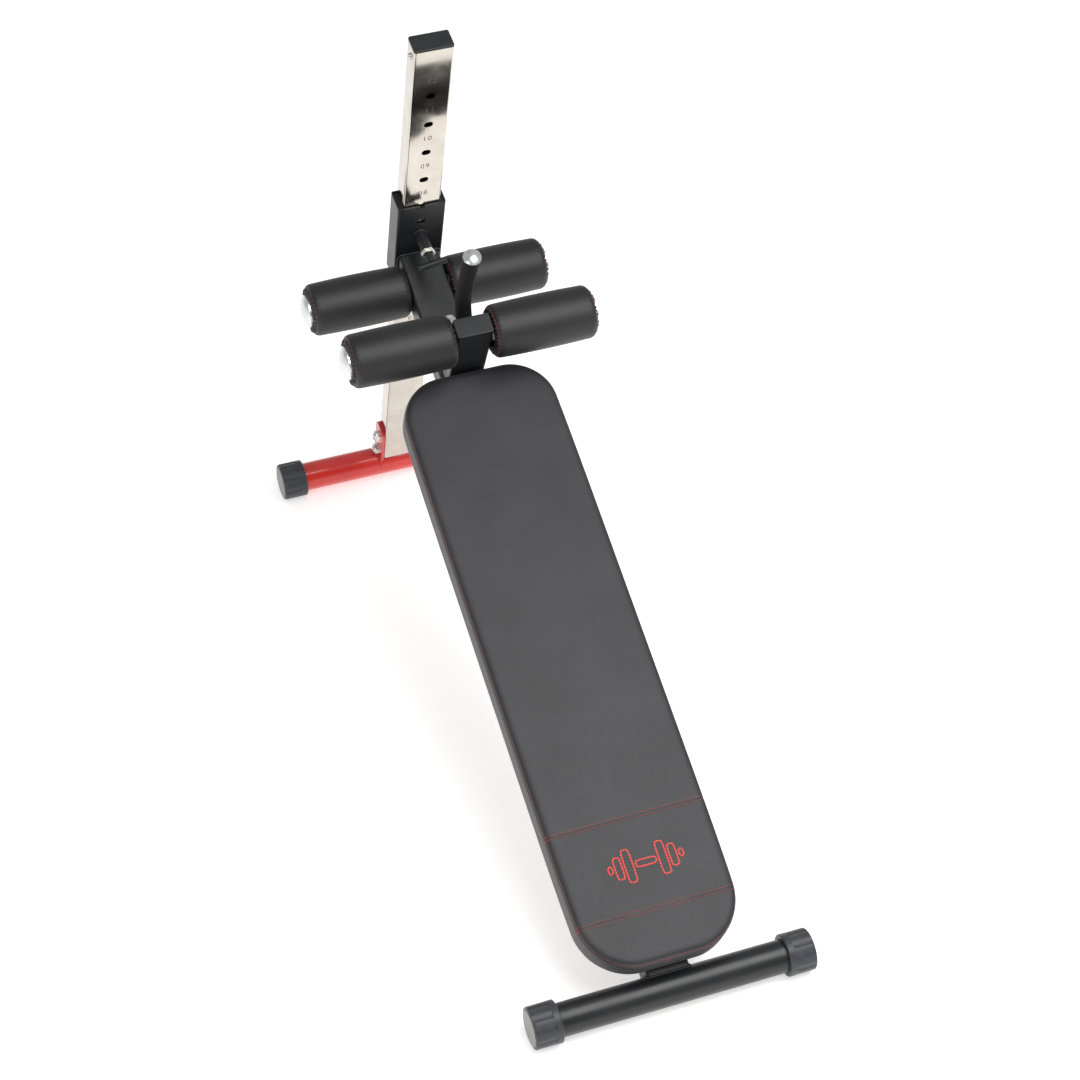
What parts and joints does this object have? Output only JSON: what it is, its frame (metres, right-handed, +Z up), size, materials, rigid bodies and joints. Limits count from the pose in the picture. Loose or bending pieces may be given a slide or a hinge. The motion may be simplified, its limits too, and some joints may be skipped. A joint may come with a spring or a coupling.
{
  "type": "adjustable sit-up bench",
  "caption": "Sit-up bench with a long padded board on an inclined beam, padded foot rollers, a hand grip and a square post with a pull pin that sets the height.",
  "frame": {"origin": "on the floor, in the middle between the four foot caps", "axes": "+Z up, +Y from the low end of the board to the post, X along the foot bars"},
  "size_m": [0.5224, 1.6518, 1.2497],
  "materials": {
    "black_powder_coat": "satin black powder coat",
    "red_paint": "gloss red paint",
    "chrome": "polished chrome plate",
    "zinc": "bright zinc plate",
    "steel": "plain steel",
    "black_plastic": "moulded, fine grain",
    "grey_plastic": "moulded, flat",
    "white_plastic": "low-friction nylon",
    "black_vinyl": "grained vinyl over foam, with red thread",
    "rubber": "matt foam rubber",
    "plywood": "bare plywood"
  },
  "bodies": {
    "frame": {"front_foot_tube": "black_powder_coat", "front_foot_caps": "black_plastic", "front_foot_cap_discs": "grey_plastic", "spine_beam": "black_powder_coat", "spine_bolt": "zinc", "spine_bolt_washer": "zinc", "spine_bolt_nut": "zinc", "roller_stem": "black_powder_coat", "stem_end_plate": "black_powder_coat", "front_roller_axle": "steel", "rear_roller_axle": "steel", "front_roller_spacers": "black_plastic", "rear_roller_spacers": "black_plastic", "roller_end_caps": "chrome", "handle_tube": "black_powder_coat", "handle_grip": "rubber", "handle_end_cap": "chrome", "pad_cushion": "black_vinyl", "pad_board": "plywood", "pad_mount_plates": "black_powder_coat", "pad_bolts": "zinc", "pad_tee_nuts": "zinc", "post_sleeve": "black_powder_coat", "sleeve_guide_bushes": "black_plastic", "pin_housing": "black_powder_coat", "pin_lock_nut": "zinc", "pin_spring": "steel"},
    "post": {"post_tube": "chrome", "post_top_plug": "black_plastic", "post_stop_screw": "zinc", "rear_foot_tube": "red_paint", "rear_foot_caps": "black_plastic", "rear_foot_cap_discs": "grey_plastic", "post_bracket": "red_paint", "bracket_bolts": "zinc", "bracket_nuts": "zinc", "bracket_washers": "zinc"},
    "pull_pin": {"pull_pin_plunger": "steel", "pull_pin_handle": "black_plastic"},
    "front_left_roller": {"front_left_roller_foam": "black_vinyl", "front_left_roller_core": "white_plastic"},
    "front_right_roller": {"front_right_roller_foam": "black_vinyl", "front_right_roller_core": "white_plastic"},
    "rear_left_roller": {"rear_left_roller_foam": "black_vinyl", "rear_left_roller_core": "white_plastic"},
    "rear_right_roller": {"rear_right_roller_foam": "black_vinyl", "rear_right_roller_core": "white_plastic"}
  },
  "joints": [
    {"name": "post_height", "type": "slide", "parent": "frame", "child": "post", "axis": [0, -0.2902, 0.957], "range_m": [-0.225, 0.225]},
    {"name": "pin_pull", "type": "slide", "parent": "frame", "child": "pull_pin", "axis": [0, -0.957, -0.2902], "range_m": [0, 0.012], "stiffness_N_per_m": 1500, "springref_m": -0.008, "deforming": ["pin_spring"]},
    {"name": "front_left_roller_spin", "type": "hinge", "parent": "frame", "child": "front_left_roller", "pos_m": [0, 0.24299, 0.72404], "axis": [1, 0, 0], "continuous": true},
    {"name": "front_right_roller_spin", "type": "hinge", "parent": "frame", "child": "front_right_roller", "pos_m": [0, 0.24299, 0.72404], "axis": [1, 0, 0], "continuous": true},
    {"name": "rear_left_roller_spin", "type": "hinge", "parent": "frame", "child": "rear_left_roller", "pos_m": [0, 0.51555, 0.65838], "axis": [1, 0, 0], "continuous": true},
    {"name": "rear_right_roller_spin", "type": "hinge", "parent": "frame", "child": "rear_right_roller", "pos_m": [0, 0.51555, 0.65838], "axis": [1, 0, 0], "continuous": true}
  ]
}
